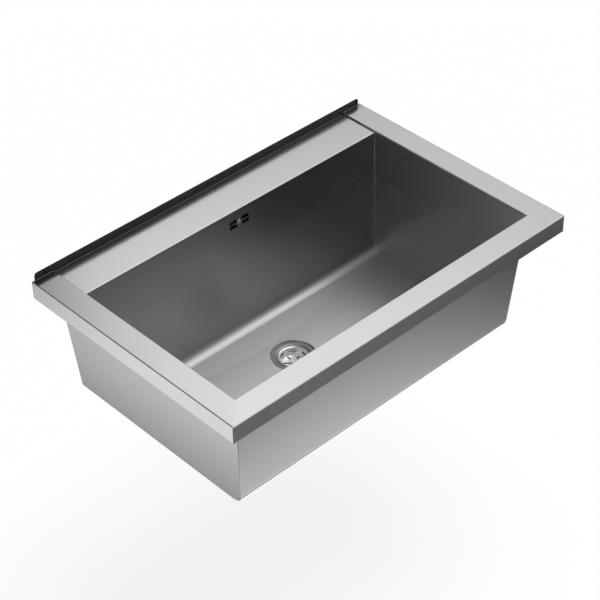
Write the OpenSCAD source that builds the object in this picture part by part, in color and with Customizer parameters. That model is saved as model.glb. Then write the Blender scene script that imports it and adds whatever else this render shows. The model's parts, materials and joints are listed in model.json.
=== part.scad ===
// A long wash sink folded and welded from stainless sheet, with a tap deck, an upstand at the wall,
// an overflow, and a waste with a lift-out strainer basket.
// Frame: X along the front, Y towards the wall, Z up. The origin is on the back face, midway along
// it and level with the top of the rim.

/* [Sheet] */
// Thickness of the sheet
sheet = 1.5; // [1:0.1:2]
// Inside radius of the sharp folds
fold_r = 1.2; // [0.8:0.1:3]

/* [Rim] */
// Length of the rim
rim_len = 1000; // [800:10:1400]
// Depth of the rim from the front skirt to the wall
rim_depth = 650; // [600:10:760]
// Width of the two side flanges
side_flange = 60; // [45:1:80]
// Width of the front flange
front_flange = 60; // [45:1:80]
// Depth of the tap deck behind the bowl
deck_depth = 110; // [100:1:150]
// How far the deck lies below the side flanges
deck_step = 4.5; // [4:0.5:9]
// Height of the skirt round the rim
skirt_drop = 46; // [30:1:60]
// Width of the hem turned in under the skirt
skirt_hem = 12; // [8:1:20]

/* [Upstand] */
// Height of the upstand above the rim
upstand_h = 18.5; // [14:0.5:60]
// How far the upstand stops short of the rim's ends
upstand_inset = 8; // [5:1:20]
// Radius of the upstand's top end corners
upstand_corner_r = 8; // [3:0.5:12]

/* [Bowl] */
// Depth of the bowl from the rim to the edge of the floor
bowl_depth = 329; // [250:1:380]
// Lean of the four walls from upright, in degrees
wall_lean = 4.3; // [2:0.1:6]
// Inside radius of the two long bends at the floor
bend_r = 30; // [15:1:45]
// Fall of the floor from its edge to the waste
floor_fall = 5; // [4:0.5:15]
// Width of the level strip of the floor along each end wall
floor_strip = 2; // [1:0.5:5]
// Half the side of the flat square round the waste
flat_half = 64; // [60:1:75]
// Distance of the waste from the wall
waste_back = 285; // [270:1:330]

/* [Back] */
// Height of the wall rail below the rim
rail_drop = 58; // [50:1:70]
// Depth of the wall rail's leg under the deck
rail_leg = 30; // [20:1:45]
// Diameter of the wall screw holes
wall_hole_d = 9; // [7:0.5:12]
// Distance of the two outer wall screws from the rim's ends
wall_hole_inset = 100; // [90:5:130]
// Distance between the two inner wall screws
wall_inner_span = 400; // [200:10:500]
// Width of the return folded in at the back of each end panel
return_w = 22; // [15:1:30]
// Height of the tie bar between the end panels
tie_h = 40; // [25:1:60]
// Depth of the tie bar
tie_w = 18; // [12:1:25]
// Thickness of the sound pads
pad_t = 3; // [2:0.5:5]
// Distance of the sound pads from the level strips at the floor's ends
pad_inset = 35; // [10:5:60]
// Length of the sound pads along the sink
pad_len = 158; // [80:2:180]

/* [Overflow] */
// Depth of the overflow's middle below the rim
over_drop = 39; // [36:1:70]
// Length of each overflow slot
slot_len = 22; // [15:1:24]
// Height of each overflow slot
slot_h = 9; // [6:0.5:10]
// Web between the upper and the lower slots
slot_web = 3.5; // [2.5:0.5:6]
// Space between the left and the right slots
slot_gap = 15; // [14:0.5:20]
// Diameter of the overflow screw's head
over_head_d = 11; // [9:0.5:12]
// Wall of the plastic parts
plastic = 2.5; // [2:0.1:3]
// Outside diameter of the overflow pipe
pipe_d = 25; // [20:1:28]
// Wall of the overflow pipe
pipe_wall = 2; // [1.5:0.1:3]
// Radius of the overflow pipe's bend at its middle line
pipe_bend_r = 40; // [30:1:50]

/* [Waste] */
// Width of the floor that the flange lies on, round the hole
flange_land = 5.5; // [4.5:0.25:7]
// Diameter of the strainer dish's flange
flange_d = 101; // [98:0.5:104]
// Depth of the pressed seat that the flange lies in
seat_depth = 4.7; // [2.2:0.1:6]
// Gap round the flange in its pressed seat
seat_gap = 2; // [1:0.1:3]
// Diameter of the dish at its mouth
dish_d = 69; // [66:0.5:72]
// Depth of the dish from its flange to the plug's seat
dish_depth = 27; // [24:0.5:32]
// Diameter of the way out at the bottom of the dish
throat_d = 40; // [36:0.5:42]
// Diameter of the waste body's outlet thread
outlet_d = 47.8; // [40:0.1:50]
// Length of the outlet thread
outlet_len = 25; // [18:1:40]
// Height of the waste body's drum under its rim
drum_len = 58; // [56:1:80]
// Height of the cone between the drum and the outlet thread
cone_len = 14; // [8:1:25]
// Depth of the overflow inlet's middle below the flat square of the floor
inlet_drop = 38; // [36:0.5:40]
// Length of the overflow inlet behind the drum
inlet_len = 22; // [18:1:35]

/* [Basket] */
// Number of petals in the basket's floor
petals = 6; // [5:1:8]
// Width of the slots between the petals
petal_slot = 4; // [2:0.1:5]
// Diameter of the basket's floor
basket_foot_d = 55; // [50:0.5:56]
// Width of each window in the basket's wall
window_w = 18; // [8:1:20]
// Height of each window in the basket's wall
window_h = 4.5; // [3:0.5:6]
// Diameter of the knob
knob_d = 17; // [14:0.5:20]
// Height of the knob above the basket's floor
knob_h = 8.5; // [6:0.5:10]
// Diameter of the stem
stem_d = 6; // [5:0.1:7]
// Room between the basket and the dish
basket_play = 0.4; // [0.3:0.05:0.8]
// Room between the stem and the hollow screw
stem_play = 0.06; // [0.02:0.01:0.09]

/* [Hidden] */
$fn = 72;

steel = [0.76, 0.76, 0.75];
chrome = [0.86, 0.87, 0.88];
rubber = [0.10, 0.10, 0.10];
plastic_grey = [0.30, 0.31, 0.32];
brass = [0.80, 0.66, 0.34];

far = 3000;
seam = 0.05;
lap = 0.5;
fold_out = fold_r + sheet;
split = fold_out;
wall_span = rim_len - 2 * wall_hole_inset;
pad_margin = 8;
lean_tan = tan(wall_lean);
sheet_across = sheet / cos(wall_lean);

// The bowl's mouth, where its walls would meet the top of the rim.
mouth_x = rim_len / 2 - side_flange;
mouth_front = front_flange - rim_depth;
mouth_rear = -deck_depth;

// The floor's edges: along its ends, and where it meets the two long bends.
floor_x = mouth_x - bowl_depth * lean_tan;
slope_x = floor_x - floor_strip;
bend_setback = bend_r * tan((90 - wall_lean) / 2);
foot_front = mouth_front + bowl_depth * lean_tan;
foot_rear = mouth_rear - bowl_depth * lean_tan;
floor_front = foot_front + bend_setback;
floor_rear = foot_rear - bend_setback;
waste_y = -waste_back;
flat_z = -bowl_depth - floor_fall;

// The waste, in heights below the flat square of the floor.
dish_sheet = 1;
flange_gasket_t = 1.2;
flange_top = dish_sheet + flange_gasket_t - seat_depth;
dish_mouth_r = dish_d / 2;
dish_taper = 4;
dish_foot_r = dish_mouth_r - dish_taper;
throat_r = throat_d / 2 - dish_sheet;
hole_d = flange_d - 2 * flange_land;
flange_flat_r = hole_d / 2 - 0.5;
lip_drop = 4;
lip_z = flange_top - lip_drop;
dish_floor = flange_top - dish_depth;
collar_len = 14;
spider_t = 1.5;
spider_top = dish_floor - collar_len;
spider_r = 10;
spider_arm = 4;
under_floor = -seat_depth - sheet;
gasket_r = flange_d / 2 - 0.5;
clamp_gasket_t = 2;
clamp_r = flange_d / 2 + 1.5;
body_top = under_floor - clamp_gasket_t;
body_rim_t = 3;
body_r = dish_mouth_r + dish_sheet + 3;
drum_low = body_top - drum_len;
cone_low = drum_low - cone_len;
body_low = cone_low - outlet_len;
outlet_bore_r = outlet_d / 2 - plastic;
hub_r = 12;
hub_len = 18;
rib_t = 3;
rib_low = drum_low + 3;
rib_h = 9;
ribs = 3;
bore_clear = 0.3;
screw_r = 5;
screw_head_r = 8;
screw_head_h = 3.5;
screw_len = 30;
screw_slot = 2;
screw_hollow = 15;
screw_top = spider_top + screw_head_h;
insert_r = 7;
insert_len = 12;
hub_gap = 6;
insert_top = spider_top - spider_t - hub_gap;

// The basket, in the same heights, as it lies pushed down on its plug.
basket_t = 0.8;
basket_lift = 5.5;
basket_top = dish_floor + basket_lift;
basket_under = basket_top - basket_t;
basket_mouth_r = dish_mouth_r - basket_play - basket_t;
basket_lip = 0.3;
window_top = lip_z - 4;
petal_turn = 50;
stem_r = stem_d / 2;
knob_top = basket_top + knob_h;
stem_top = knob_top - 3;
knob_neck_r = 5.5;
knob_edge_r = 1.5;
knob_dimple_r = 4.5;
knob_dimple = 1.5;
plug_lip_r = throat_r + 3.5;
plug_neck_r = throat_r - 0.4;
plug_low = dish_floor - 5;
washer_r = 13;
washer_t = 1.2;
nut_r = 5.5;
nut_t = 2.4;

// The overflow, in the frame of the bowl's rear wall: Y out of its back, Z up along it.
over_gasket_t = 2;
over_margin = 6;
over_w = 2 * (slot_len + over_margin) + slot_gap;
over_h = 2 * (slot_h + over_margin) + slot_web;
over_front = sheet + over_gasket_t;
over_screw_r = 2.5;
over_screw_grip = 10;
over_screw_len = over_front + over_screw_grip;
over_head_h = 2.5;
over_driver_w = 1.2;
over_driver_h = 1.2;
over_hole_r = over_screw_r + 0.2;
over_insert_r = 4;
over_boss_r = 6.5;
pipe_fit = 0.3;
pipe_r = pipe_d / 2;
pipe_bore_r = pipe_r - pipe_wall;
pipe_into = 12;
socket_len = 15;
socket_r = pipe_r + pipe_fit + plastic;
seal_t = 4;
pipe_nut_r = socket_r + pipe_fit + 2.4;
pipe_nut_cap = 2.4;
pipe_nut_len = 10;
pipe_back = sheet + pipe_nut_r + 2;
housing_depth = pipe_back + socket_r - over_front;

// The overflow pipe's middle line, down behind the bowl and forward to the waste.
socket_z = -over_drop - over_h / 2 - socket_len;
inlet_z = flat_z - inlet_drop;
inlet_reach = body_r + plastic + inlet_len;
pipe_axis_y = mouth_rear - over_drop * lean_tan + pipe_back;
pipe_drop = socket_z + pipe_into - inlet_z - pipe_bend_r;
pipe_reach = pipe_axis_y - pipe_bend_r - waste_y - inlet_reach + pipe_into;

function unit(v) = v / norm(v);
function right_of(d) = [d.y, -d.x];
function heading(path, i) = unit(path[i + 1] - path[i]);
function turn(path, i) = cross(heading(path, i - 1), heading(path, i));
function turn_angle(path, i) = acos(heading(path, i - 1) * heading(path, i));
function face_r(path, radii, i, t) = radii[i] + (turn(path, i) < 0 ? t : 0);
function setback(path, radii, i, t) =
    i == 0 || i == len(path) - 1 ? 0 : face_r(path, radii, i, t) * tan(turn_angle(path, i) / 2);

// A sector of a ring between two angles less than a half turn apart.
module ring_sector(inner, outer, a0, a1) {
    reach = 2 * outer;
    intersection() {
        difference() {
            circle(r = outer);
            circle(r = inner);
        }
        polygon([[0, 0], reach * [cos(a0), sin(a0)],
                 2 * reach * [cos((a0 + a1) / 2), sin((a0 + a1) / 2)],
                 reach * [cos(a1), sin(a1)]]);
    }
}

// Section through folded sheet. The path is the face on its left, with the sheet on its right, and
// each corner is folded to the inside radius given for it. The flats run a hair into the folds.
module folded(path, radii, t = sheet) {
    for (i = [0 : len(path) - 2]) {
        d = heading(path, i);
        p = path[i] + d * (setback(path, radii, i, t) - (i > 0 ? seam : 0));
        q = path[i + 1] - d * (setback(path, radii, i + 1, t) - (i < len(path) - 2 ? seam : 0));
        s = right_of(d) * t;
        polygon([p, p + s, q + s, q]);
    }
    for (i = [1 : len(path) - 2]) {
        d0 = heading(path, i - 1);
        r = face_r(path, radii, i, t);
        side = turn(path, i) < 0 ? 1 : -1;
        centre = path[i] - d0 * setback(path, radii, i, t) + side * r * right_of(d0);
        from = -side * right_of(d0);
        a0 = atan2(from.y, from.x);
        a1 = a0 - side * turn_angle(path, i);
        translate(centre)
            ring_sector(side > 0 ? r - t : r, side > 0 ? r : r + t, a0, a1);
    }
}

// Lays a section drawn in Y and Z along X, centred.
module along_x(length) {
    translate([-length / 2, 0, 0]) rotate([90, 0, 90]) linear_extrude(length) children();
}

// Lays a section drawn in X and Z along Y, from the wall forward.
module along_y(length) {
    rotate([90, 0, 0]) linear_extrude(length) children();
}

// The space between the inside faces of the two end panels.
module between_ends() {
    intersection() {
        beyond_left_end();
        mirror([1, 0, 0]) beyond_left_end();
    }
}
module beyond_left_end() {
    translate([-mouth_x, 0, 0]) rotate([0, -wall_lean, 0])
        translate([0, -far / 2, -far / 2]) cube(far);
}

// What lies on the side flange's side of the mitre at the front left corner.
module left_of_mitre() {
    translate([-rim_len / 2, -rim_depth, 0]) rotate([0, 0, atan2(front_flange, side_flange)])
        translate([-far / 2, 0, -far / 2]) cube(far);
}
module between_mitres() {
    difference() {
        translate([-far / 2, -rim_depth - 1, -far / 2]) cube(far);
        left_of_mitre();
        mirror([1, 0, 0]) left_of_mitre();
    }
}

// What the folds leave below the rim, from a line just inside the flange.
module wall_window(edge, up = 0) {
    translate([edge - 2 * fold_out, -far]) square([far, far - split + up]);
}

// The front of the long sheet: hem, skirt, flange, front wall and the start of the floor.
module front_section() {
    folded([[skirt_hem - rim_depth, -skirt_drop], [-rim_depth, -skirt_drop], [-rim_depth, 0],
            [mouth_front, 0], [foot_front, -bowl_depth], [floor_front, -bowl_depth]],
           [0, fold_r, fold_r, fold_r, bend_r, 0]);
}

// The back of the long sheet: rear wall, tap deck and upstand.
module rear_section() {
    folded([[floor_rear, -bowl_depth], [foot_rear, -bowl_depth],
            [mouth_rear - deck_step * lean_tan, -deck_step], [-sheet, -deck_step], [-sheet, upstand_h]],
           [0, bend_r, fold_r, fold_r, 0]);
}

// The space above the creased floor, lowered by a drop: four slopes down to a flat square.
module above_floor(drop) {
    end_slope = atan(floor_fall / (slope_x - flat_half));
    front_slope = atan(floor_fall / (waste_y - flat_half - floor_front));
    rear_slope = atan(floor_fall / (floor_rear - waste_y - flat_half));
    translate([0, 0, -drop])
        intersection() {
            translate([-far / 2, -far / 2, flat_z]) cube(far);
            translate([-slope_x, 0, -bowl_depth]) rotate([0, end_slope, 0]) upper_half();
            translate([slope_x, 0, -bowl_depth]) rotate([0, -end_slope, 0]) upper_half();
            translate([0, floor_front, -bowl_depth]) rotate([-front_slope, 0, 0]) upper_half();
            translate([0, floor_rear, -bowl_depth]) rotate([rear_slope, 0, 0]) upper_half();
        }
}
module upper_half() {
    translate([-far / 2, -far / 2, 0]) cube(far);
}

// The creased floor, with the pressed seat and the hole for the waste.
module floor_panel() {
    seat_r = flange_d / 2 + seat_gap;
    slope = seat_depth / 2;
    difference() {
        union() {
            difference() {
                intersection() {
                    translate([-rim_len / 2, floor_front - seam, flat_z - sheet])
                        cube([rim_len, floor_rear - floor_front + 2 * seam, floor_fall + sheet]);
                    above_floor(sheet);
                }
                above_floor(0);
            }
            translate([0, waste_y, flat_z - seat_depth - sheet])
                cylinder(h = seat_depth + sheet / 2, r1 = seat_r + sheet, r2 = seat_r + sheet + slope);
        }
        translate([0, waste_y, flat_z - seat_depth])
            cylinder(h = seat_depth, r1 = seat_r, r2 = seat_r + slope);
        translate([0, waste_y, flat_z]) cylinder(h = 1, r = seat_r + slope);
        translate([0, waste_y, flat_z - far / 2]) cylinder(h = far, d = hole_d);
    }
}

// Moves to the middle of the overflow: Y out of the back of the rear wall, Z up along it.
module at_overflow() {
    translate([0, mouth_rear - over_drop * lean_tan, -over_drop]) rotate([-wall_lean, 0, 0]) children();
}

// A plate in X and Z with round corners, growing back from the wall.
module round_plate(w, h, r, t) {
    rotate([90, 0, 0]) translate([0, 0, -t]) linear_extrude(t) {
        square([w - 2 * r, h], center = true);
        square([w, h - 2 * r], center = true);
        for (x = [-1, 1], y = [-1, 1])
            translate([x * (w / 2 - r), y * (h / 2 - r)]) circle(r = r);
    }
}
module overflow_slots(t) {
    for (x = [-1, 1], z = [-1, 1])
        translate([x * (slot_len + slot_gap) / 2, 0, z * (slot_h + slot_web) / 2])
            round_plate(slot_len, slot_h, 1.5, t);
}

// The long sheet: from the front hem over the flange, down, under and up the bowl, and over the deck.
module bowl_sheet() {
    color(steel) {
        intersection() {
            between_mitres();
            along_x(rim_len) difference() {
                front_section();
                wall_window(mouth_front);
            }
        }
        difference() {
            intersection() {
                between_ends();
                union() {
                    along_x(rim_len) {
                        intersection() {
                            front_section();
                            wall_window(mouth_front, lap);
                        }
                        rear_section();
                    }
                    floor_panel();
                }
            }
            at_overflow() translate([0, -sheet, 0]) {
                overflow_slots(3 * sheet);
                rotate([-90, 0, 0]) cylinder(h = 3 * sheet, r = over_hole_r);
            }
        }
    }
}

// One end: skirt, flange and end wall from one sheet, with its piece of the upstand and its return.
module end_section() {
    folded([[skirt_hem - rim_len / 2, -skirt_drop], [-rim_len / 2, -skirt_drop], [-rim_len / 2, 0],
            [-mouth_x, 0], [-floor_x + sheet, -bowl_depth - sheet / lean_tan]],
           [0, fold_r, fold_r, fold_r, 0]);
}
end_back_top = [-split * lean_tan, -split];
end_back_foot = [-(bowl_depth + sheet) * lean_tan, -bowl_depth - sheet];
module end_outline() {
    outer_r = bend_r + sheet;
    centre = [floor_front, -bowl_depth + bend_r];
    top_front = mouth_front - sheet_across + split * lean_tan;
    translate(centre) circle(r = outer_r);
    polygon([[top_front, -split], centre - outer_r * [cos(wall_lean), sin(wall_lean)], centre,
             [centre.x, -bowl_depth - sheet], end_back_foot, end_back_top,
             end_back_top + [0, lap], [mouth_front, lap - split], [mouth_front, -split]]);
}
module upstand_end() {
    left = upstand_inset - rim_len / 2;
    intersection() {
        along_x(rim_len) folded([[-3 * fold_out, 0], [-sheet, 0], [-sheet, upstand_h]], [0, fold_r, 0]);
        difference() {
            translate([left, -far / 2, -far / 2]) cube(far);
            beyond_left_end();
            difference() {
                translate([left, -far / 2, upstand_h - upstand_corner_r])
                    cube([upstand_corner_r, far, far]);
                translate([left + upstand_corner_r, 0, upstand_h - upstand_corner_r]) rotate([90, 0, 0])
                    cylinder(h = far, r = upstand_corner_r, center = true);
            }
        }
    }
}
module back_return() {
    intersection() {
        translate([-mouth_x, 0, 0]) rotate([0, -wall_lean, 0])
            translate([-sheet, -far / 2, -far]) cube([return_w + sheet, far, far]);
        along_x(rim_len)
            polygon([end_back_foot, end_back_top, end_back_top - [sheet_across, 0],
                     end_back_foot - [sheet_across, 0]]);
        translate([-far / 2, -far / 2, -bowl_depth - sheet])
            cube([far, far, bowl_depth + sheet - rail_drop]);
    }
}
module end_panel() {
    color(steel) {
        difference() {
            intersection() {
                left_of_mitre();
                along_y(rim_depth) difference() {
                    end_section();
                    wall_window(-mouth_x);
                }
            }
            translate([upstand_inset - rim_len / 2, -fold_out, -fold_out])
                cube([side_flange - upstand_inset - fold_out, far, far]);
        }
        intersection() {
            along_y(rim_depth) intersection() {
                end_section();
                wall_window(-mouth_x, lap);
            }
            along_x(rim_len) end_outline();
        }
        upstand_end();
        back_return();
    }
}
module left_end_panel() {
    end_panel();
}
module right_end_panel() {
    mirror([1, 0, 0]) end_panel();
}

// The rail under the deck that takes the wall screws.
module wall_rail() {
    top = -deck_step - sheet;
    color(steel) difference() {
        intersection() {
            between_ends();
            along_x(rim_len) folded([[-rail_leg, top], [0, top], [0, -rail_drop + 2]], [0, fold_r, 0]);
        }
        for (span = [wall_span, wall_inner_span], side = [-1, 1])
            translate([side * span / 2, 0, wall_hole_z()]) rotate([90, 0, 0])
                cylinder(h = 20, d = wall_hole_d, center = true);
    }
}
function wall_hole_z() = -(deck_step + rail_drop) / 2;

// The channel that ties the end panels together at the bottom, against their returns.
module tie_bar() {
    low = -bowl_depth / cos(wall_lean) + 2;
    color(steel) intersection() {
        between_ends();
        rotate([-wall_lean, 0, 0]) along_x(rim_len)
            folded([[-sheet - tie_w, low + tie_h], [-sheet, low + tie_h], [-sheet, low],
                    [-sheet - tie_w, low]], [0, fold_r, fold_r, 0]);
    }
}

// Pads stuck under the two end slopes of the floor, where a rectangle fits between the creases.
module sound_pads() {
    run = slope_x - flat_half;
    slope = atan(floor_fall / run);
    crease = (pad_inset + pad_len) / run;
    front = floor_front + crease * (waste_y - flat_half - floor_front) + pad_margin;
    rear = floor_rear + crease * (waste_y + flat_half - floor_rear) - pad_margin;
    color(rubber) for (side = [0, 1]) mirror([side, 0, 0])
        translate([-slope_x, 0, -bowl_depth - sheet]) rotate([0, slope, 0])
            translate([pad_inset, front, -pad_t]) cube([pad_len, rear - front, pad_t]);
}

// Turns a section drawn in radius and height round the waste's axis.
module turned() {
    translate([0, waste_y, flat_z]) rotate_extrude() children();
}
module at_waste() {
    translate([0, waste_y, flat_z]) children();
}

// The dish: flange, sloping lip and tapered cup, drawn down to a collar with a spider across it.
module strainer_dish() {
    collar_low = spider_top - spider_t;
    color(chrome) {
        turned() folded([[throat_r, collar_low], [throat_r, dish_floor], [dish_foot_r, dish_floor],
                         [dish_mouth_r, lip_z], [flange_flat_r, flange_top], [flange_d / 2, flange_top]],
                        [0, 1, 3, 2, 4, 0], dish_sheet);
        at_waste() difference() {
            union() {
                translate([0, 0, collar_low]) cylinder(h = spider_t, r = spider_r);
                for (a = [0 : 90 : 270]) rotate([0, 0, a])
                    translate([0, -spider_arm / 2, collar_low])
                        cube([throat_r + dish_sheet / 2, spider_arm, spider_t]);
            }
            translate([0, 0, collar_low - 1]) cylinder(h = spider_t + 2, r = screw_r + bore_clear);
        }
    }
}

// A ring round the waste's axis, from one height up to another.
module ring(inner, outer, low, high) {
    at_waste() difference() {
        translate([0, 0, low]) cylinder(h = high - low, r = outer);
        translate([0, 0, low - 1]) cylinder(h = high - low + 2, r = inner);
    }
}
module flange_gasket() {
    color(rubber) ring(hole_d / 2 + 0.2, gasket_r, -seat_depth, flange_top - dish_sheet);
}
module clamp_gasket() {
    color(rubber) ring(hole_d / 2 - 3, clamp_r, body_top, under_floor);
}

// The plastic body below the floor: rim, drum and hub, with the overflow inlet at its back.
module waste_body() {
    outer = body_r + plastic;
    color(plastic_grey) at_waste() {
        difference() {
            union() {
                translate([0, 0, body_top - body_rim_t]) cylinder(h = body_rim_t, r = clamp_r);
                translate([0, 0, drum_low]) cylinder(h = drum_len, r = outer);
                translate([0, 0, -inlet_drop]) rotate([-90, 0, 0]) cylinder(h = inlet_reach, r = socket_r);
            }
            translate([0, 0, drum_low - 1]) cylinder(h = drum_len + 2, r = body_r);
            translate([0, 0, -inlet_drop]) rotate([-90, 0, 0]) cylinder(h = inlet_reach + 1, r = pipe_bore_r);
            translate([0, inlet_reach - pipe_into, -inlet_drop]) rotate([-90, 0, 0])
                cylinder(h = pipe_into + 1, r = pipe_r + pipe_fit);
        }
        difference() {
            union() {
                translate([0, 0, insert_top - hub_len]) cylinder(h = hub_len, r = hub_r);
                for (a = [0 : 360 / ribs : 359]) rotate([0, 0, a + 30])
                    translate([0, -rib_t / 2, rib_low]) cube([body_r + 1, rib_t, rib_h]);
            }
            translate([0, 0, insert_top - insert_len]) cylinder(h = insert_len + 1, r = insert_r);
            translate([0, 0, drum_low - far / 2])
                cylinder(h = far / 2 + hub_len, r = screw_r + bore_clear);
        }
    }
}

// The cone welded under the drum, with the outlet thread below it.
module outlet_cone() {
    outer = body_r + plastic;
    color(plastic_grey) turned()
        polygon([[body_r, drum_low], [outlet_bore_r, cone_low], [outlet_bore_r, body_low],
                 [outlet_d / 2, body_low], [outlet_d / 2, cone_low], [outer, drum_low]]);
}

// The hollow screw that pulls the dish down to the body.
module fixing_screw() {
    color(chrome) at_waste() difference() {
        union() {
            translate([0, 0, spider_top]) cylinder(h = screw_head_h, r = screw_head_r);
            translate([0, 0, spider_top - screw_len]) cylinder(h = screw_len, r = screw_r);
        }
        translate([0, 0, screw_top - screw_hollow]) cylinder(h = screw_hollow + 1, r = stem_r + stem_play);
        translate([-far / 2, -screw_slot / 2, screw_top - screw_slot]) cube([far, screw_slot, far]);
    }
}
module insert_nut() {
    color(brass) ring(screw_r, insert_r, insert_top - insert_len, insert_top);
}

// The basket: a tapered cup with a turned-out lip, windows in its wall and petals in its floor.
module strainer_basket() {
    lip = [basket_mouth_r, lip_z + basket_t];
    slope = [flange_flat_r - dish_mouth_r, flange_top - lip_z];
    inner = knob_neck_r + 4;
    outer = basket_foot_d / 2 - 2.5;
    color(chrome) difference() {
        turned() folded([[stem_r, basket_top], [basket_foot_d / 2, basket_top], lip,
                         lip + basket_lip * slope],
                        [0, 3, 1.5, 0], basket_t);
        at_waste() for (i = [0 : petals - 1]) {
            rotate([0, 0, petal_turn + i * 360 / petals])
                translate([basket_foot_d / 2 - 2, -window_w / 2, window_top - window_h])
                    cube([far, window_w, window_h]);
            rotate([0, 0, petal_turn + (i + 0.5) * 360 / petals])
                translate([0, 0, basket_under - 1]) petal_gap(inner, outer);
        }
    }
}
module petal_gap(inner, outer) {
    translate([inner, -petal_slot / 2, 0]) cube([outer - inner, petal_slot, 3]);
    for (r = [inner, outer]) translate([r, 0, 0]) cylinder(h = 3, d = petal_slot);
}

// The knob, with a dimple in its top.
module basket_knob() {
    edge = knob_d / 2 - knob_edge_r;
    color(chrome) at_waste() difference() {
        rotate_extrude() {
            translate([0, basket_top]) square([knob_neck_r, knob_top - basket_top - 1]);
            translate([0, knob_top - 2 * knob_edge_r]) square([edge, 2 * knob_edge_r]);
            translate([edge, knob_top - knob_edge_r])
                intersection() {
                    circle(r = knob_edge_r);
                    translate([0, -knob_edge_r]) square(2 * knob_edge_r);
                }
        }
        translate([0, 0, knob_top - knob_dimple]) cylinder(h = 2, r = knob_dimple_r);
        translate([0, 0, basket_top - 1]) cylinder(h = stem_top - basket_top + 1, r = stem_r);
    }
}
module basket_stem() {
    low = screw_top - screw_hollow + 1;
    color(chrome) at_waste()
        translate([0, 0, low]) cylinder(h = stem_top - low, r = stem_r);
}

// The rubber plug, which sits on the dish's floor round the way out.
module plug_seal() {
    color(rubber) turned()
        polygon([[stem_r, basket_under], [knob_neck_r + 3, basket_under], [plug_lip_r, dish_floor + 2],
                 [plug_lip_r, dish_floor], [plug_neck_r, dish_floor], [plug_neck_r - 2, plug_low],
                 [stem_r, plug_low]]);
}
module plug_washer() {
    color(chrome) ring(stem_r, washer_r, plug_low - washer_t, plug_low);
}
module plug_nut() {
    low = plug_low - washer_t - nut_t;
    color(chrome) at_waste() difference() {
        translate([0, 0, low]) cylinder(h = nut_t, r = nut_r, $fn = 6);
        translate([0, 0, low - 1]) cylinder(h = nut_t + 2, r = stem_r);
    }
}

// Behind the overflow slots: gasket, housing with its boss and its socket, screw and insert.
module overflow_gasket() {
    color(rubber) at_overflow() translate([0, sheet, 0]) difference() {
        round_plate(over_w, over_h, 4, over_gasket_t);
        translate([0, -1, 0]) round_plate(over_w - over_margin, over_h - over_margin, 3, over_gasket_t + 2);
    }
}
module overflow_housing() {
    color(plastic_grey) difference() {
        union() {
            at_overflow() translate([0, over_front, 0]) {
                difference() {
                    round_plate(over_w, over_h, 4, housing_depth);
                    translate([0, -plastic, 0])
                        round_plate(over_w - 2 * plastic, over_h - 2 * plastic, 3, housing_depth);
                }
                rotate([-90, 0, 0]) cylinder(h = housing_depth - 1, r = over_boss_r);
            }
            at_pipe_top() cylinder(h = socket_len + plastic, r = socket_r);
        }
        at_overflow() translate([0, over_front - 1, 0]) rotate([-90, 0, 0])
            cylinder(h = over_screw_len + 1, r = over_insert_r);
        at_pipe_top() translate([0, 0, -1]) {
            cylinder(h = socket_len + plastic + 2, r = pipe_bore_r);
            cylinder(h = pipe_into + 1, r = pipe_r + pipe_fit);
        }
    }
}
module overflow_screw() {
    color(chrome) at_overflow() rotate([-90, 0, 0]) difference() {
        union() {
            translate([0, 0, -over_head_h])
                cylinder(h = over_head_h, r1 = over_head_d / 2 - 1, r2 = over_head_d / 2);
            cylinder(h = over_screw_len, r = over_screw_r);
        }
        translate([-far / 2, -over_driver_w / 2, -over_head_h - 1])
            cube([far, over_driver_w, over_driver_h + 1]);
    }
}
module overflow_insert() {
    color(brass) at_overflow() translate([0, over_front + 1, 0]) rotate([-90, 0, 0]) difference() {
        cylinder(h = over_screw_len - over_front - 1, r = over_insert_r);
        translate([0, 0, -1]) cylinder(h = over_screw_len, r = over_screw_r);
    }
}

// The pipe from the overflow down behind the bowl and forward to the waste body.
module overflow_pipe() {
    color(plastic_grey) translate([0, pipe_axis_y, inlet_z + pipe_bend_r]) {
        linear_extrude(pipe_drop) pipe_section();
        translate([0, -pipe_bend_r, 0]) rotate([90, 0, 90]) rotate([0, 0, -90])
            rotate_extrude(angle = 90) translate([pipe_bend_r, 0]) pipe_section();
        translate([0, -pipe_bend_r, -pipe_bend_r]) rotate([90, 0, 0])
            linear_extrude(pipe_reach) pipe_section();
    }
}
module pipe_section() {
    difference() {
        circle(r = pipe_r);
        circle(r = pipe_bore_r);
    }
}

// Moves to both ends of the pipe: the socket's mouth is at Z = 0 with the socket above it.
module at_pipe_top() {
    translate([0, pipe_axis_y, socket_z]) children();
}
module at_sockets() {
    at_pipe_top() children();
    translate([0, waste_y + inlet_reach, inlet_z]) rotate([90, 0, 0]) children();
}
module pipe_nuts() {
    color(plastic_grey) at_sockets() difference() {
        translate([0, 0, -seal_t - pipe_nut_cap])
            cylinder(h = pipe_nut_cap + seal_t + pipe_nut_len, r = pipe_nut_r, $fn = 12);
        translate([0, 0, -seal_t]) cylinder(h = far, r = socket_r + pipe_fit);
        translate([0, 0, -far / 2]) cylinder(h = far, r = pipe_r + pipe_fit);
    }
}
module pipe_seals() {
    color(rubber) at_sockets() difference() {
        translate([0, 0, -seal_t]) cylinder(h = seal_t, r = socket_r);
        translate([0, 0, -seal_t - 1]) cylinder(h = seal_t + 2, r = pipe_r);
    }
}

bowl_sheet();
left_end_panel();
right_end_panel();
wall_rail();
tie_bar();
sound_pads();
strainer_dish();
flange_gasket();
clamp_gasket();
waste_body();
outlet_cone();
fixing_screw();
insert_nut();
strainer_basket();
basket_knob();
basket_stem();
plug_seal();
plug_washer();
plug_nut();
overflow_gasket();
overflow_housing();
overflow_screw();
overflow_insert();
overflow_pipe();
pipe_nuts();
pipe_seals();
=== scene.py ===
# The long wash sink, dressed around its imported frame. Metres, +X along the front, +Y to the wall, +Z up.
import json
import math

import bmesh
import bpy
from mathutils import Matrix, Vector


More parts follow.
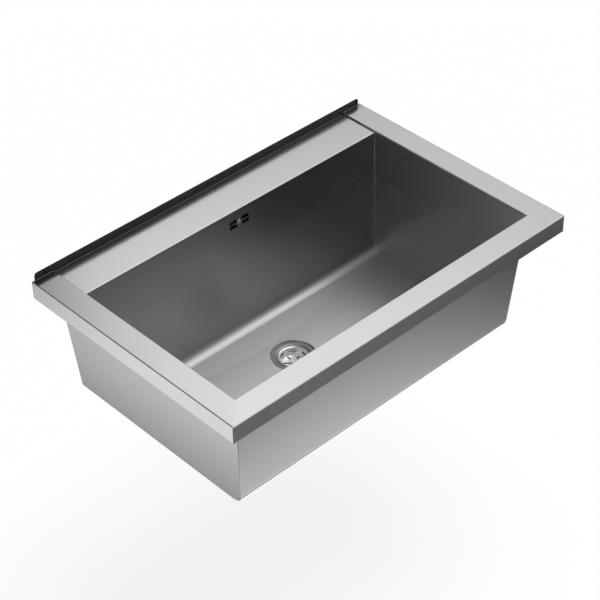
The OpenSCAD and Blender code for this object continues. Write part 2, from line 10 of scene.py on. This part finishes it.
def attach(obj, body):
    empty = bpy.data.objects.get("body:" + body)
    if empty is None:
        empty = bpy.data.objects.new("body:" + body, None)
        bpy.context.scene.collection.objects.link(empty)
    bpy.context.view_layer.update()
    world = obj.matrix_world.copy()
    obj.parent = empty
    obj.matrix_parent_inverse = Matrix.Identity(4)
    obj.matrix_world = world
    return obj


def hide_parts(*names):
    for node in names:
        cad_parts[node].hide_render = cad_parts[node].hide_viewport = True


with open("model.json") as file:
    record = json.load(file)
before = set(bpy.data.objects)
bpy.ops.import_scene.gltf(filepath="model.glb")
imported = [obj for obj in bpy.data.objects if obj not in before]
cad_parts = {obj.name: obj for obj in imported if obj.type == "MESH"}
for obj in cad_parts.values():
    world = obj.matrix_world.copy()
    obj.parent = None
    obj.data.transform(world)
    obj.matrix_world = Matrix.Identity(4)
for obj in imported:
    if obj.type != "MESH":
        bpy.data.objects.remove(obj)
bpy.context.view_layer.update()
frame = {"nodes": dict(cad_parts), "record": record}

# The camera stands in front of the sink's left end and looks down into the bowl. Its place, turn and
# lens were worked out from the corners of the rim and of the bowl's mouth.
camera_place = Vector((-2.268, -2.769, 2.538))
camera_turn = math.radians(-42.70)
camera_tilt = math.radians(51.16)
camera_roll = math.radians(-1.25)
camera_lens = 114.2
sensor_width = 36
camera_data = bpy.data.cameras.new("camera")
camera_data.sensor_width = sensor_width
camera_data.lens = camera_lens
camera = bpy.data.objects.new("camera", camera_data)
camera.matrix_world = (
    Matrix.Translation(camera_place)
    @ Matrix.Rotation(camera_turn, 4, "Z")
    @ Matrix.Rotation(camera_tilt, 4, "X")
    @ Matrix.Rotation(camera_roll, 4, "Z")
)
bpy.context.scene.collection.objects.link(camera)
bpy.context.scene.camera = camera
bpy.context.scene.view_settings.view_transform = "Standard"


# The studio: a room that is light low down, dim overhead and white to the camera, a soft sun, and a
# pale floor below the hanging sink. Dark cards and two light panels, just above the floor and high up,
# are seen by reflections alone, and give the steel the tones of a product shot.
plain_white = (1, 1, 1, 1)
overhead_light = 0.06
wall_light = 0.65
overhead_to_wall = (0.56, 0.44)


class Wire:
    """One socket of a shader. Sums on wires add Math nodes to its tree, and node() adds any other."""

    def __init__(self, tree, socket=None):
        self.tree = tree
        self.socket = socket

    def node(self, kind, settings, inputs, output=0):
        """A new node, from its type, its settings, and the values or wires of its sockets."""
        added = self.tree.nodes.new("ShaderNode" + kind)
        for name, value in settings.items():
            setattr(added, name, value)
        for name, value in inputs.items():
            if isinstance(value, Wire):
                self.tree.links.new(value.socket, added.inputs[name])
            else:
                added.inputs[name].default_value = value
        return Wire(self.tree, added.outputs[output] if added.outputs else None)

    def math(self, operation, first, second):
        return self.node("Math", {"operation": operation}, {0: first, 1: second})

    def __add__(self, other):
        return self.math("ADD", self, other)

    def __radd__(self, other):
        return self.math("ADD", other, self)

    def __sub__(self, other):
        return self.math("SUBTRACT", self, other)

    def __rsub__(self, other):
        return self.math("SUBTRACT", other, self)

    def __mul__(self, other):
        return self.math("MULTIPLY", self, other)

    def __rmul__(self, other):
        return self.math("MULTIPLY", other, self)

    def __truediv__(self, other):
        return self.math("DIVIDE", self, other)

    def __rtruediv__(self, other):
        return self.math("DIVIDE", other, self)

    def fade(self, start, end, ease="LINEAR"):
        """This value as a share: 0 up to start and 1 from end, which may be the lower of the two."""
        return self.node("MapRange", {"interpolation_type": ease}, {
            "Value": self, "From Min": start, "From Max": end})

    def mix(self, first, second):
        """A colour: the first where this value is 0, and the second where it is 1."""
        return self.node("Mix", {"data_type": "RGBA"}, {0: self, 6: first, 7: second}, 2)

    def noise(self, scale, detail, roughness=0.5):
        """A noise from 0 to 1 over this place."""
        return self.node("TexNoise", {}, {
            "Vector": self, "Scale": scale, "Detail": detail, "Roughness": roughness})

    def along(self, axis):
        """How far this vector reaches along X, Y or Z."""
        return self.node("SeparateXYZ", {}, {"Vector": self}, axis)

    def from_point(self, point):
        """The vector from a point to this place."""
        return self.node("VectorMath", {"operation": "SUBTRACT"}, {0: self, 1: point})

    def dot(self, other):
        """The dot product of this vector and another."""
        return self.node("VectorMath", {"operation": "DOT_PRODUCT"}, {0: self, 1: other}, "Value")


def empty_tree(owner):
    """The cleared shader tree of a new material or world."""
    owner.use_nodes = True
    owner.node_tree.nodes.clear()
    return Wire(owner.node_tree)


room = bpy.data.worlds.new("grey_room")
bpy.context.scene.world = room
tree = empty_tree(room)
rise = tree.node("TexCoord", {}, {}, "Generated").along("Z")
wall_share = rise.fade(*overhead_to_wall, "SMOOTHSTEP")
overhead = tree.node("Background", {}, {"Color": plain_white, "Strength": overhead_light})
walls = tree.node("Background", {}, {"Color": plain_white, "Strength": wall_light})
lighting = tree.node("MixShader", {}, {0: wall_share, 1: overhead, 2: walls})
backdrop = tree.node("Background", {}, {"Color": plain_white, "Strength": 1.0})
seen = tree.node("LightPath", {}, {}, "Is Camera Ray")
sky = tree.node("MixShader", {}, {0: seen, 1: lighting, 2: backdrop})
tree.node("OutputWorld", {}, {"Surface": sky})

floor_level = -0.85
floor_half = 14
floor_white = (0.92, 0.92, 0.92, 1)
shadow_share = 0.15


def flat_card(name, material, corners):
    """A flat stage card, from its corners in turn."""
    bm = bmesh.new()
    bm.faces.new([bm.verts.new(corner) for corner in corners])
    mesh = bpy.data.meshes.new(name)
    bm.to_mesh(mesh)
    bm.free()
    mesh.materials.append(material)
    card = bpy.data.objects.new(name, mesh)
    bpy.context.scene.collection.objects.link(card)
    return card


floor_material = bpy.data.materials.new("pale_floor")
tree = empty_tree(floor_material)
lit = tree.node("BsdfDiffuse", {}, {"Color": floor_white})
plain = tree.node("Emission", {}, {"Color": plain_white})
seen = tree.node("LightPath", {}, {}, "Is Camera Ray")
mirrored = tree.node("LightPath", {}, {}, "Is Glossy Ray")
through = tree.node("LightPath", {}, {}, "Is Transmission Ray")
plain_share = (seen + mirrored + through) * (1 - shadow_share)
mixed = tree.node("MixShader", {}, {0: plain_share, 1: lit, 2: plain})
tree.node("OutputMaterial", {}, {"Surface": mixed})
flat_card("floor", floor_material, [
    (-floor_half, -floor_half, floor_level), (floor_half, -floor_half, floor_level),
    (floor_half, floor_half, floor_level), (-floor_half, floor_half, floor_level)])

sun_light = 2.8
sun_spread = math.radians(40)
sun_tilt = math.radians(18)
sun = bpy.data.lights.new("sun", "SUN")
sun.energy = sun_light
sun.angle = sun_spread
sun_object = bpy.data.objects.new("sun", sun)
sun_object.matrix_world = Matrix.Rotation(sun_tilt, 4, "Y")
sun_object.visible_glossy = False
bpy.context.scene.collection.objects.link(sun_object)

card_black = (0.012, 0.012, 0.012, 1)
light_box_white = (1.38, 1.38, 1.38, 1)
front_light_white = (2.2, 2.2, 2.2, 1)
low_cards = floor_level + 0.02
card_step = 0.005
high_cards = 3.2
light_box_height = high_cards + 0.05
front_light_height = high_cards + 0.06


def soft_card(name, height, outline, fade_from, fade_to, colour=card_black):
    """A level card for reflections alone, clear at fade_from and full at fade_to, as seen from above."""
    start = Vector((*fade_from, height))
    run = Vector((*fade_to, height)) - start
    material = bpy.data.materials.new(name)
    tree = empty_tree(material)
    from_start = tree.node("TexCoord", {}, {}, "Object").from_point(start)
    share = (from_start.dot(run) / run.length_squared).fade(0, 1, "SMOOTHSTEP")
    clear = tree.node("BsdfTransparent", {}, {})
    painted = tree.node("Emission", {}, {"Color": colour})
    mixed = tree.node("MixShader", {}, {0: share, 1: clear, 2: painted})
    tree.node("OutputMaterial", {}, {"Surface": mixed})
    card = flat_card(name, material, [(x, y, height) for x, y in outline])
    card.visible_camera = False
    card.visible_diffuse = False
    card.visible_shadow = False


soft_card("front_card", low_cards,
          [(-0.6, -1.75), (1.7, -1.75), (1.7, -0.58), (-0.6, -0.58)], (0, -0.70), (0, -1.34))
soft_card("right_card", low_cards + card_step,
          [(0.1, -1.75), (1.7, -1.75), (1.7, -0.5), (0.1, -0.5)], (0.12, 0), (1.38, 0))
soft_card("corner_card", low_cards + 2 * card_step,
          [(-1.7, 0.5), (-1.7, -1.8), (0.2, -1.8), (0.2, -1.4), (-1.4, 0.2)], (-0.66, -0.66), (-0.80, -0.80))
soft_card("foot_card", low_cards,
          [(-1.1, -0.5), (1.4, -0.5), (1.4, 1.2), (-1.1, 1.2)], (-1.0, 0), (-0.4, 0))
soft_card("rear_card", low_cards + card_step,
          [(-2.6, 0.3), (-0.4, 0.3), (-0.4, 2.4), (-2.6, 2.4)], (0, 0.35), (0, 1.7))
soft_card("high_card", high_cards,
          [(-2.0, -2.1), (6.0, -2.1), (6.0, -5.5), (-2.0, -5.5)], (0, -2.9), (0, -3.25))
soft_card("front_light", front_light_height,
          [(1.0, -3.3), (5.0, -3.3), (5.0, -1.0), (1.0, -1.0)], (0, -1.0), (0, -1.7), front_light_white)
soft_card("left_card", high_cards,
          [(-1.2, 1.0), (-1.2, 7.0), (-7.0, 7.0), (-7.0, 1.0)], (-1.2, 0), (-2.2, 0))
soft_card("deck_card", high_cards,
          [(0.8, 2.4), (8.0, 2.4), (8.0, 6.5), (0.8, 6.5)], (0, 2.4), (0, 6.5))
soft_card("light_box", light_box_height,
          [(-1.4, -3.3), (5.0, -3.3), (5.0, 5.0), (2.5, 5.0)], (8.5, 2), (1.0, 2), light_box_white)


# The long sheet: 1.5 mm stainless steel, folded from one piece into the front skirt, the flange, the
# bowl's front, floor and rear, the tap deck and the upstand. It was brushed along its length before
# folding. What its upstand, rear wall and undersides mirror is dark, so their colour is painted dark there
# as a painted dark reflection, as is the deck at the upstand's foot; the bowl's floor is painted lighter.
steel_light = (0.635, 0.63, 0.62, 1)
steel_dark = (0.575, 0.57, 0.56, 1)
brightened_floor_light = (0.735, 0.73, 0.715, 1)
brightened_floor_dark = (0.665, 0.66, 0.65, 1)
rim_light = (0.625, 0.62, 0.61, 1)
rim_dark = (0.565, 0.56, 0.55, 1)
painted_dark_reflection = (0.028, 0.028, 0.028, 1)
upstand_painted_dark = 0.94
foot_painted_dark = 0.35
rear_wall_painted_dark = 0.54
under_painted_dark = 0.8
bowl_middle = (0, -0.35, -0.17)
inside_fade = (0.0, -0.05)
above_rim_fade = (0.0002, 0.0015)
above_deck_fade = (-0.006, -0.0046)
at_wall_fade = (-0.0027, -0.0019)
behind_fade = (0.3, 0.7)
level_fade = (0.8, 0.95)
under_fade = (-0.30, -0.42)
rear_wall_fade = (-0.150, -0.131)
foot_fade = (-0.024, -0.003)
worn_fade = (-0.08, -0.34)
floor_fade = (-0.31, -0.325)
hair_across = 1500.0
hair_along = 9.0
band_across = 240.0
band_along = 3.0
hair_share = 0.75
noise_middle = 0.5
steel_roughness = 0.26
worn_roughness = 0.18
level_polish = 0.04
upright_polish = 0.06
hair_glint = 0.04
cloud_glint = 0.04
hair_bump = 0.07
hair_depth = 0.00003
anisotropy = 0.45
quarter_turn = 0.25


def brushed_steel(name, along, roughness=steel_roughness, light=steel_light, dark=steel_dark,
                  rear_painted_dark=0.0):
    """Stainless steel with hairlines along one axis and cloudy gloss; its glossier rim tops take painted
    shade, its worn, rougher floor painted light, and its upstand, the deck at its foot, the rear wall and
    the undersides a painted dark reflection.
    """
    material = bpy.data.materials.new(name)
    tree = empty_tree(material)
    place = tree.node("TexCoord", {}, {}, "Object")
    faced = tree.node("TexCoord", {}, {}, "Normal")
    axis = "XYZ".index(along)
    fine = [hair_across] * 3
    fine[axis] = hair_along
    wide = [band_across] * 3
    wide[axis] = band_along
    hair = tree.node("Mapping", {}, {"Vector": place, "Scale": fine}).noise(scale=1, detail=2, roughness=0.6)
    band = tree.node("Mapping", {}, {"Vector": place, "Scale": wide}).noise(scale=1, detail=3, roughness=0.6)
    cloud = place.noise(scale=7, detail=4, roughness=0.55)
    streak = hair * hair_share + band * (1 - hair_share)

    depth = place.along("Y")
    height = place.along("Z")
    facing_back = faced.along("Y")
    facing_up = faced.along("Z")
    # A face is inside the bowl where the bowl's middle lies in front of it.
    inside = place.from_point(bowl_middle).dot(faced).fade(*inside_fade)
    worn = inside * height.fade(*worn_fade, "SMOOTHSTEP")
    on_floor = height.fade(*floor_fade, "SMOOTHSTEP")
    level = facing_up.fade(*level_fade)
    rim_top = level * (1 - inside)
    # The upstand from its foot on the deck to its top edge, without its back.
    above_rim = height.fade(*above_rim_fade)
    above_deck = height.fade(*above_deck_fade)
    at_wall = depth.fade(*at_wall_fade)
    behind = facing_back.fade(*behind_fade)
    upright = tree.math("MAXIMUM", above_rim, above_deck * at_wall) * (1 - behind)
    # The bowl's rear wall, the strip of deck at the upstand's foot, and what looks down outside: where the
    # painted dark reflection goes.
    rear = inside * (1 - upright) * depth.fade(*rear_wall_fade, "SMOOTHSTEP")
    foot = level * (1 - upright) * (1 - inside) * depth.fade(*foot_fade, "SMOOTHSTEP")
    under = facing_up.fade(*under_fade) * (1 - inside)

    bare = streak.mix(dark, light)
    # Level rim tops outside the bowl are painted darker to one tone on every panel, as painted shade.
    rim_top_tone = streak.mix(rim_dark, rim_light)
    # The bowl's floor is painted lighter, as painted light.
    brightened_floor = streak.mix(brightened_floor_dark, brightened_floor_light)
    open_steel = on_floor.mix(rim_top.mix(bare, rim_top_tone), brightened_floor)
    # Painted dark reflection and shade: the upstand, the deck at its foot, the rear wall and the undersides
    # are darkened towards near black.
    painted_darkening = upright * upstand_painted_dark + foot * foot_painted_dark + rear * rear_painted_dark + under * under_painted_dark
    colour = painted_darkening.mix(open_steel, painted_dark_reflection)
    gloss = roughness + worn * worn_roughness - rim_top * level_polish - upright * upright_polish
    gloss = gloss + (hair - noise_middle) * (1 - upright) * hair_glint + (cloud - noise_middle) * cloud_glint
    bump = tree.node("Bump", {}, {
        "Strength": hair_bump, "Distance": hair_depth, "Height": hair * (1 - upright)})
    grain = [0.0] * 3
    grain[axis] = 1.0
    tangent = tree.node("CombineXYZ", {}, dict(zip("XYZ", grain)))
    surface = tree.node("BsdfPrincipled", {}, {
        "Base Color": colour, "Metallic": 1.0, "Roughness": gloss, "Normal": bump,
        "Anisotropic": anisotropy, "Anisotropic Rotation": quarter_turn, "Tangent": tangent})
    tree.node("OutputMaterial", {}, {"Surface": surface})
    return material


merge_distance = 1e-6
touching = 1e-5
soft_fold = math.radians(55)
same_plane = math.radians(0.1)
flat_panel = 0.01
area_digits = 9
near_level = math.radians(8)
floor_top = -0.32
floor_ease = 1.5
rim_corners = [(-0.5, -0.65), (0.5, -0.65)]
corner_ease = 0.0011
ease_segments = 3


def body_of(node):
    """The body that a CAD node belongs to."""
    bodies = frame["record"]["behaviour"]["bodies"]
    return next(body for body, nodes in bodies.items() if node in nodes)


def plane_areas(bm):
    """For each face, the area of the flat patch of joined faces that it belongs to."""
    areas = {}
    for seed in bm.faces:
        if seed in areas:
            continue
        patch = {seed}
        reached = [seed]
        while reached:
            face = reached.pop()
            for edge in face.edges:
                for other in edge.link_faces:
                    if other not in patch and other.normal.angle(seed.normal, math.pi) < same_plane:
                        patch.add(other)
                        reached.append(other)
        area = sum(face.calc_area() for face in patch)
        for face in patch:
            areas[face] = area
    return areas


def fold_normals(bm):
    """A normal for each corner: panels stay flat, the faces of a fold bend, the floor's creases soften."""
    up = Vector((0, 0, 1))
    areas = plane_areas(bm)
    normals = []
    for face in bm.faces:
        for corner in face.loops:
            near = [other for other in corner.vert.link_faces
                    if other.normal.angle(face.normal, math.pi) < soft_fold]
            if face.normal.angle(up, math.pi) < near_level and corner.vert.co.z < floor_top:
                normals.append((face.normal + floor_ease * up).normalized())
                continue
            if areas[face] > flat_panel or not near:
                normals.append(face.normal.copy())
                continue
            patches = {round(areas[other], area_digits): other.normal for other in near}
            total = Vector()
            for area, normal in patches.items():
                total += normal * area ** 2
            normals.append(total.normalized())
    return normals


def stands_at(edge, x, y):
    """Whether an edge lies on the upright line through a point seen from above."""
    return all(abs(vert.co.x - x) + abs(vert.co.y - y) < touching for vert in edge.verts)


def dress(node, material, eased=()):
    """A merged copy of a CAD node with evened normals, which stands for it in its own finish."""
    bm = bmesh.new()
    bm.from_mesh(frame["nodes"][node].data)
    bmesh.ops.remove_doubles(bm, verts=bm.verts, dist=merge_distance)
    sharp = [edge for edge in bm.edges if any(stands_at(edge, x, y) for x, y in eased)]
    if sharp:
        bmesh.ops.bevel(bm, geom=sharp, offset=corner_ease, segments=ease_segments,
                        profile=0.5, affect="EDGES", material=-1)
    bm.normal_update()
    for face in bm.faces:
        face.smooth = True
        face.material_index = 0
    normals = fold_normals(bm)
    mesh = bpy.data.meshes.new(node + "_skin")
    bm.to_mesh(mesh)
    bm.free()
    # The normals that the CAD mesh came with don't fit its merged corners.
    if "custom_normal" in mesh.attributes:
        mesh.attributes.remove(mesh.attributes["custom_normal"])
    mesh.normals_split_custom_set(normals)
    mesh.materials.append(material)
    skin = bpy.data.objects.new(node + "_skin", mesh)
    bpy.context.scene.collection.objects.link(skin)
    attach(skin, body_of(node))
    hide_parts(node)


sheet_steel = brushed_steel("steel_brushed_along", "X", rear_painted_dark=rear_wall_painted_dark)
dress("bowl_sheet", sheet_steel, eased=rim_corners)

# The two end panels: the same steel, brushed along the flange from the wall to the front, and welded
# to the long sheet at the mitres and down the bowl's corners.
# The end panels' steel is painted lighter than the long sheet's, as painted light, and their level tops are
# brought back to the sheet's tone.
end_brightened_light = (0.76, 0.755, 0.745, 1)
end_brightened_dark = (0.69, 0.685, 0.675, 1)
end_steel = brushed_steel("steel_brushed_across", "Y", light=end_brightened_light, dark=end_brightened_dark)
for side in ("left", "right"):
    dress(side + "_end_panel", end_steel, eased=rim_corners)

# The welds where the long sheet meets the end panels: ground flush and blended outside, and drawn
# out to a thin fillet inside the bowl.
inner_weld = 0.0011
outer_weld = 0.0017
weld_inset = 0.0009
weld_sides = 12
weld_roughness = 0.14
inner_weld_top = -0.009
outer_weld_top = -0.006
sheet = 0.0015
wall_lean = math.radians(4.3)
mouth_half = 0.440
mouth_front = -0.590
mouth_rear = -0.110
bowl_depth = 0.329
bend_radius = 0.030
bend_steps = 10
ground_steel = brushed_steel("steel_ground_weld", "Z", weld_roughness)


def bowl_profile(outwards, top):
    """The bowl's outline seen from its end as points (y, z), at a distance outside its inner face."""
    lean = math.tan(wall_lean)
    setback = bend_radius * math.tan((math.pi / 2 - wall_lean) / 2)
    radius = bend_radius + outwards
    profile = []
    for wall, towards in ((mouth_front, -1), (mouth_rear, 1)):
        foot = wall - towards * (bowl_depth * lean + setback)
        side = [(wall + towards * (outwards / math.cos(wall_lean) + top * lean), top)]
        for step in range(bend_steps + 1):
            angle = wall_lean + (math.pi / 2 - wall_lean) * step / bend_steps
            side.append((foot + towards * radius * math.cos(angle),
                         bend_radius - bowl_depth - radius * math.sin(angle)))
        profile += side if towards < 0 else side[::-1]
    return profile


def weld_seam(name, profile, inset, radius, side):
    """A round bead along the joint of the long sheet and one end panel, at one side of the bowl."""
    lean = math.tan(wall_lean)
    path = [Vector((side * (mouth_half + z * lean + inset), y, z)) for y, z in profile]
    headings = [(after - here).normalized() for here, after in zip(path, path[1:])]
    between = [(before + after).normalized() for before, after in zip(headings, headings[1:])]
    tangents = [headings[0], *between, headings[-1]]
    turn = tangents[0].to_track_quat("Z", "Y").to_matrix().to_4x4()
    bm = bmesh.new()
    ring = bmesh.ops.create_circle(bm, cap_ends=True, segments=weld_sides, radius=radius,
                                   matrix=Matrix.Translation(path[0]) @ turn)["verts"]
    edges = list({edge for vert in ring for edge in vert.link_edges})
    for step in range(1, len(path)):
        grown = bmesh.ops.extrude_edge_only(bm, edges=edges)["geom"]
        ring = [part for part in grown if isinstance(part, bmesh.types.BMVert)]
        edges = [part for part in grown if isinstance(part, bmesh.types.BMEdge)
                 and all(vert in ring for vert in part.verts)]
        bend = tangents[step - 1].rotation_difference(tangents[step]).to_matrix()
        bmesh.ops.translate(bm, verts=ring, vec=path[step] - path[step - 1])
        bmesh.ops.rotate(bm, verts=ring, cent=path[step], matrix=bend)
    bmesh.ops.contextual_create(bm, geom=edges)
    bmesh.ops.recalc_face_normals(bm, faces=bm.faces)
    for face in bm.faces:
        face.smooth = True
    for cap in [face for face in bm.faces if len(face.verts) != 4]:
        for edge in cap.edges:
            edge.smooth = False
    mesh = bpy.data.meshes.new(name)
    bm.to_mesh(mesh)
    bm.free()
    mesh.materials.append(ground_steel)
    seam = bpy.data.objects.new(name, mesh)
    bpy.context.scene.collection.objects.link(seam)
    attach(seam, "sink")


whole_seam = bowl_profile(0.0, inner_weld_top)
front_seam = bowl_profile(sheet - weld_inset, outer_weld_top)[:bend_steps + 2]
for side, word in ((-1, "left"), (1, "right")):
    weld_seam("inner_weld_" + word, whole_seam, 0.0, inner_weld, side)
    weld_seam("outer_weld_" + word, front_seam, sheet - weld_inset, outer_weld, side)

# The wall rail and the tie bar: folded from the same sheet, left with the mill's dull finish, spot
# welded under the deck and between the end panels' returns.
mill_roughness = 0.38
mill_steel = brushed_steel("steel_mill_finish", "X", mill_roughness)
dress("wall_rail", mill_steel)
dress("tie_bar", mill_steel)


# The sound pads: black bitumen sheets with a rolled, slightly grainy face. They are cut to size and
# stuck under the floor, one on each side of the waste.
bitumen_light = (0.05, 0.05, 0.052, 1)
bitumen_dark = (0.025, 0.025, 0.025, 1)
dull_cloud_scale = 30
dull_cloud_share = 0.7
dull_bump = 0.5
grain_glint = 0.2


def dull_surface(name, light, dark, roughness, grain, depth):
    """Rubber, bitumen or moulded plastic: one colour with a fine grain and faint clouds."""
    material = bpy.data.materials.new(name)
    tree = empty_tree(material)
    place = tree.node("TexCoord", {}, {}, "Object")
    fine = place.noise(grain, detail=3)
    cloud = place.noise(dull_cloud_scale, detail=4)
    colour = (cloud * dull_cloud_share + fine * (1 - dull_cloud_share)).mix(dark, light)
    bump = tree.node("Bump", {}, {"Strength": dull_bump, "Distance": depth, "Height": fine})
    gloss = roughness + (fine - noise_middle) * grain_glint
    surface = tree.node("BsdfPrincipled", {}, {"Base Color": colour, "Roughness": gloss, "Normal": bump})
    tree.node("OutputMaterial", {}, {"Surface": surface})
    return material


bitumen = dull_surface("bitumen", bitumen_light, bitumen_dark, roughness=0.75, grain=900, depth=0.0003)
dress("sound_pads", bitumen)


# The strainer waste: a polished, chromed dish whose flange lies in the floor's pressed seat, and the
# loose basket in it, both pressed from thin stainless sheet.
dish_light = (0.86, 0.85, 0.84, 1)
dish_dark = (0.78, 0.77, 0.76, 1)
basket_light = (0.93, 0.92, 0.91, 1)
basket_dark = (0.85, 0.84, 0.83, 1)
satin_grey = (0.40, 0.375, 0.36, 1)
satin_dulling = 0.3
satin_edge = 0.001
drain_centre = (0, -0.285, 0)
dish_mouth = 0.0345
polish_cloud_scale = 60
polish_grain_scale = 1400
polish_glint = 0.05
polish_bump = 0.15
polish_depth = 0.00005


def polished_metal(name, light, dark, roughness, wear, metallic=1.0, satin_from=None):
    """Bright metal with soft clouds and dulled patches, and satin beyond a distance from the drain."""
    material = bpy.data.materials.new(name)
    tree = empty_tree(material)
    place = tree.node("TexCoord", {}, {}, "Object")
    cloud = place.noise(polish_cloud_scale, detail=4)
    fine = place.noise(polish_grain_scale, detail=2)
    colour = cloud.mix(dark, light)
    gloss = roughness + (cloud - noise_middle) * wear + (fine - noise_middle) * polish_glint
    if satin_from:
        from_drain = place.from_point(drain_centre)
        flat = tree.node("VectorMath", {"operation": "MULTIPLY"}, {0: from_drain, 1: (1, 1, 0)})
        radius = tree.node("VectorMath", {"operation": "LENGTH"}, {0: flat}, "Value")
        satin = radius.fade(satin_from, satin_from + satin_edge)
        colour = satin.mix(colour, satin_grey)
        gloss = gloss + satin * satin_dulling
    bump = tree.node("Bump", {}, {"Strength": polish_bump, "Distance": polish_depth, "Height": fine})
    surface = tree.node("BsdfPrincipled", {}, {
        "Base Color": colour, "Metallic": metallic, "Normal": bump, "Roughness": gloss})
    tree.node("OutputMaterial", {}, {"Surface": surface})
    return material


dish_metal = polished_metal("dish_metal", dish_light, dish_dark, roughness=0.2, wear=0.1,
                            satin_from=dish_mouth)
dress("strainer_dish", dish_metal)
basket_metal = polished_metal("basket_metal", basket_light, basket_dark, roughness=0.2, wear=0.12,
                              metallic=0.6)
for node in ("strainer_basket", "basket_knob"):
    dress(node, basket_metal)

# The hollow screw, the basket's stem, the plug's washer and nut, and the overflow's screw: bright
# stainless steel, turned from bar or cut from sheet. The two screws pull the plastic up to the steel.
bright_light = (0.72, 0.715, 0.70, 1)
bright_dark = (0.60, 0.595, 0.58, 1)
bright_steel = polished_metal("bright_steel", bright_light, bright_dark, roughness=0.22, wear=0.15)
for node in ("fixing_screw", "basket_stem", "plug_washer", "plug_nut", "overflow_screw"):
    dress(node, bright_steel)

# The gaskets, the plug and the pipe's seals: black moulded rubber. The gaskets are pinched between the
# steel and what is screwed to it, and the plug sits under the basket on its stem.
rubber_light = (0.035, 0.035, 0.035, 1)
rubber_dark = (0.018, 0.018, 0.018, 1)
rubber = dull_surface("rubber", rubber_light, rubber_dark, roughness=0.6, grain=1500, depth=0.00008)
for node in ("flange_gasket", "clamp_gasket", "plug_seal", "overflow_gasket", "pipe_seals"):
    dress(node, rubber)

# The waste body, the overflow's pipe and its nuts: moulded light grey plastic. The body hangs on the
# hollow screw under the floor, and the nuts hold the pipe's ends in their sockets.
plastic_light = (0.66, 0.66, 0.64, 1)
plastic_dark = (0.58, 0.58, 0.565, 1)
moulded = dull_surface("moulded_plastic", plastic_light, plastic_dark,
                       roughness=0.42, grain=800, depth=0.00006)
for node in ("waste_body", "overflow_pipe", "pipe_nuts"):
    dress(node, moulded)

# The outlet cone: the same plastic, welded under the waste body, with the trap's thread cut round its
# lower end.
thread_pitch = 0.0023
thread_depth = 0.0006
thread_top = -0.4142
thread_run_in = 0.001
ridge_half = 0.5
cone_roughness = 0.36
cone_glint = 0.12


def threaded_plastic(name):
    """Moulded plastic with a screw thread round the drain's axis, below the thread's top."""
    material = bpy.data.materials.new(name)
    tree = empty_tree(material)
    place = tree.node("TexCoord", {}, {}, "Object")
    from_drain = place.from_point(drain_centre)
    height = from_drain.along("Z")
    bearing = tree.math("ARCTAN2", from_drain.along("Y"), from_drain.along("X"))
    turns = height / thread_pitch + bearing / math.tau
    ridge = tree.node("Math", {"operation": "SINE"}, {0: turns * math.tau})
    threaded = height.fade(thread_top, thread_top - thread_run_in)
    cloud = place.noise(dull_cloud_scale, detail=4)
    colour = cloud.mix(plastic_dark, plastic_light)
    bump = tree.node("Bump", {}, {
        "Strength": 1.0, "Distance": thread_depth, "Height": ridge * threaded * ridge_half})
    gloss = cone_roughness + cloud * cone_glint
    surface = tree.node("BsdfPrincipled", {}, {"Base Color": colour, "Roughness": gloss, "Normal": bump})
    tree.node("OutputMaterial", {}, {"Surface": surface})
    return material


dress("outlet_cone", threaded_plastic("threaded_plastic"))

# The overflow's housing: a moulded box behind the slots, held to the rear wall by the screw between
# them. Its plastic is coloured near black as painted shade, so that the slots look dark.
slot_shade_light = (0.03, 0.03, 0.031, 1)
slot_shade_dark = (0.018, 0.018, 0.018, 1)
slot_shade_plastic = dull_surface("slot_shade_plastic", slot_shade_light, slot_shade_dark,
                             roughness=0.5, grain=800, depth=0.00006)
dress("overflow_housing", slot_shade_plastic)

# The two inserts that take the screws: turned brass, moulded into the waste body and the overflow's
# housing.
brass_light = (0.78, 0.60, 0.28, 1)
brass_dark = (0.66, 0.48, 0.20, 1)
brass = polished_metal("brass", brass_light, brass_dark, roughness=0.28, wear=0.15)
for node in ("insert_nut", "overflow_insert"):
    dress(node, brass)
